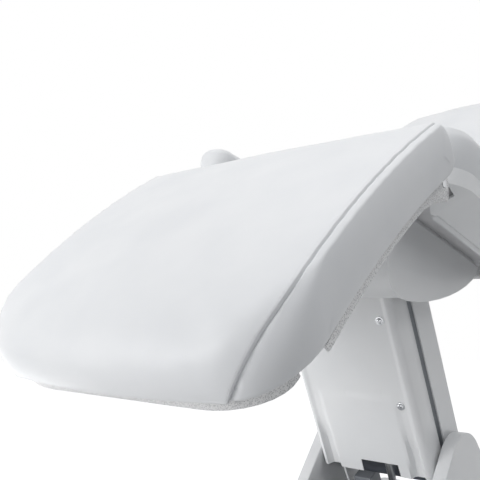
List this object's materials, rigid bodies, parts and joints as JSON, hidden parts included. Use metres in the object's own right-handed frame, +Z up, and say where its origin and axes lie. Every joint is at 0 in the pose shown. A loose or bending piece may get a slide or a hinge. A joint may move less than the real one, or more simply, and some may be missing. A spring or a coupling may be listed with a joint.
{
  "type": "beauty treatment chair",
  "caption": "Reclining padded treatment chair on a cranked lift arm and low base, with hinged leg and back rests, sliding headrest and folding arms.",
  "frame": {"origin": "on the floor, on the underside of the base plate, on the chair's middle plane", "axes": "+Z up, +Y to the head end, +X to the sitter's left"},
  "size_m": [0.82, 1.7466, 1.2519],
  "materials": {
    "white_leather": "smooth synthetic leather, white",
    "white_plastic": "moulded, satin white",
    "textured_powder_coat": "fine-textured white powder coat",
    "bright_steel": "bright turned steel",
    "dark_steel": "dark painted steel",
    "covered_board": "board wrapped in white cover fabric",
    "grey_plastic": "grey moulded",
    "black_plastic": "black moulded"
  },
  "bodies": {
    "base": {"base_plate": "textured_powder_coat", "base_cover": "white_plastic", "base_cheek_left": "dark_steel", "base_cheek_right": "dark_steel", "ear_cover_left": "white_plastic", "ear_cover_right": "white_plastic", "lower_shaft": "bright_steel", "lift_anchor": "dark_steel", "control_box": "grey_plastic", "mains_inlet": "black_plastic"},
    "arm": {"arm_beam": "dark_steel", "arm_front_cover": "white_plastic", "arm_rear_cover": "white_plastic", "cover_screw_1": "bright_steel", "cover_screw_2": "bright_steel", "cover_screw_3": "bright_steel", "junction_box": "grey_plastic", "motor_cable": "white_plastic"},
    "link": {"parallel_link": "dark_steel"},
    "lift_drive": {"lift_motor": "black_plastic"},
    "lift_piston": {"lift_rod": "bright_steel"},
    "seat": {"seat_cheek_left": "dark_steel", "seat_cheek_right": "dark_steel", "upper_shaft": "bright_steel", "seat_front_tube": "textured_powder_coat", "seat_rear_tube": "textured_powder_coat", "seat_strip_left": "textured_powder_coat", "seat_strip_right": "textured_powder_coat", "seat_board": "covered_board", "seat_cushion": "white_leather", "seat_skirt_left": "white_plastic", "seat_skirt_right": "white_plastic", "pod_cover": "white_plastic", "leg_hinge_pin_left": "bright_steel", "leg_hinge_pin_right": "bright_steel", "back_hinge_plate_left": "textured_powder_coat", "back_hinge_plate_right": "textured_powder_coat", "back_hinge_pin_left": "bright_steel", "back_hinge_pin_right": "bright_steel", "armrest_post_left": "textured_powder_coat", "armrest_post_right": "textured_powder_coat"},
    "leg": {"leg_frame": "textured_powder_coat", "leg_end_board": "textured_powder_coat", "leg_cushion": "white_leather"},
    "leg_drive": {"leg_motor": "black_plastic"},
    "leg_piston": {"leg_rod": "bright_steel"},
    "back": {"back_frame": "textured_powder_coat", "back_board": "covered_board", "back_cushion": "white_leather"},
    "back_drive": {"back_motor": "black_plastic"},
    "back_piston": {"back_rod": "bright_steel"},
    "headrest": {"headrest_bracket": "bright_steel", "headrest_cushion": "white_leather"},
    "armrest_left": {"armrest_bar_left": "textured_powder_coat", "armrest_pad_left": "white_leather"},
    "armrest_right": {"armrest_bar_right": "textured_powder_coat", "armrest_pad_right": "white_leather"},
    "power_switch": {"power_rocker": "black_plastic"}
  },
  "joints": [
    {"name": "lift", "type": "hinge", "parent": "base", "child": "arm", "pos_m": [0, 0.118, 0.25], "axis": [1, 0, 0], "range_deg": [-6, 38]},
    {"name": "link_swing", "type": "hinge", "parent": "base", "child": "link", "pos_m": [-0.045, 0.16013, 0.28535], "axis": [1, 0, 0], "range_deg": [-6.5, 38.5]},
    {"name": "seat_level", "type": "hinge", "parent": "arm", "child": "seat", "pos_m": [0, -0.05283, 0.63369], "axis": [1, 0, 0], "range_deg": [-38.5, 6.5]},
    {"name": "lift_drive_swing", "type": "hinge", "parent": "arm", "child": "lift_drive", "pos_m": [0.015, -0.06049, 0.54271], "axis": [1, 0, 0], "range_deg": [-3.6, 0.8]},
    {"name": "lift_stroke", "type": "slide", "parent": "lift_drive", "child": "lift_piston", "axis": [0, 0.4067, -0.9135], "range_m": [-0.036, 0.0065]},
    {"name": "leg_rest", "type": "hinge", "parent": "seat", "child": "leg", "pos_m": [0, -0.24, 0.735], "axis": [1, 0, 0], "range_deg": [-40, 22]},
    {"name": "leg_drive_swing", "type": "hinge", "parent": "seat", "child": "leg_drive", "pos_m": [-0.19, -0.02858, 0.64826], "axis": [1, 0, 0], "range_deg": [-5.5, 3.2]},
    {"name": "leg_stroke", "type": "slide", "parent": "leg_drive", "child": "leg_piston", "axis": [0, -0.9926, 0.1215], "range_m": [-0.0225, 0.0395]},
    {"name": "back_rest", "type": "hinge", "parent": "seat", "child": "back", "pos_m": [0, 0.2685, 0.6824], "axis": [1, 0, 0], "range_deg": [-36, 22]},
    {"name": "back_drive_swing", "type": "hinge", "parent": "seat", "child": "back_drive", "pos_m": [-0.242, 0.01754, 0.58523], "axis": [1, 0, 0], "range_deg": [-3.2, 2.4]},
    {"name": "back_stroke", "type": "slide", "parent": "back_drive", "child": "back_piston", "axis": [0, 0.9977, 0.068], "range_m": [-0.0515, 0.0375]},
    {"name": "headrest_height", "type": "slide", "parent": "back", "child": "headrest", "axis": [0, 0.9397, 0.342], "range_m": [0, 0.1]},
    {"name": "armrest_left_fold", "type": "hinge", "parent": "seat", "child": "armrest_left", "pos_m": [0.335, 0.25121, 0.78668], "axis": [-1, 0, 0], "range_deg": [0, 95]},
    {"name": "armrest_right_fold", "type": "hinge", "parent": "seat", "child": "armrest_right", "pos_m": [-0.335, 0.25121, 0.78668], "axis": [-1, 0, 0], "range_deg": [0, 95]},
    {"name": "power_switch_rock", "type": "hinge", "parent": "base", "child": "power_switch", "pos_m": [0.0275, 0.46303, 0.068], "axis": [1, 0, 0], "range_deg": [-16, 0]}
  ],
  "couplings": [
    {"joint": "link_swing", "follows": "lift", "ratio": 1},
    {"joint": "seat_level", "follows": "lift", "ratio": -1},
    {"joint": "lift_drive_swing", "follows": "lift", "ratio": -0.08689},
    {"joint": "lift_stroke", "follows": "lift", "m_per_rad": -0.05296},
    {"joint": "leg_drive_swing", "follows": "leg_rest", "ratio": 0.12817},
    {"joint": "leg_stroke", "follows": "leg_rest", "m_per_rad": -0.05508},
    {"joint": "back_drive_swing", "follows": "back_rest", "ratio": 0.07926},
    {"joint": "back_stroke", "follows": "back_rest", "m_per_rad": 0.07968}
  ]
}
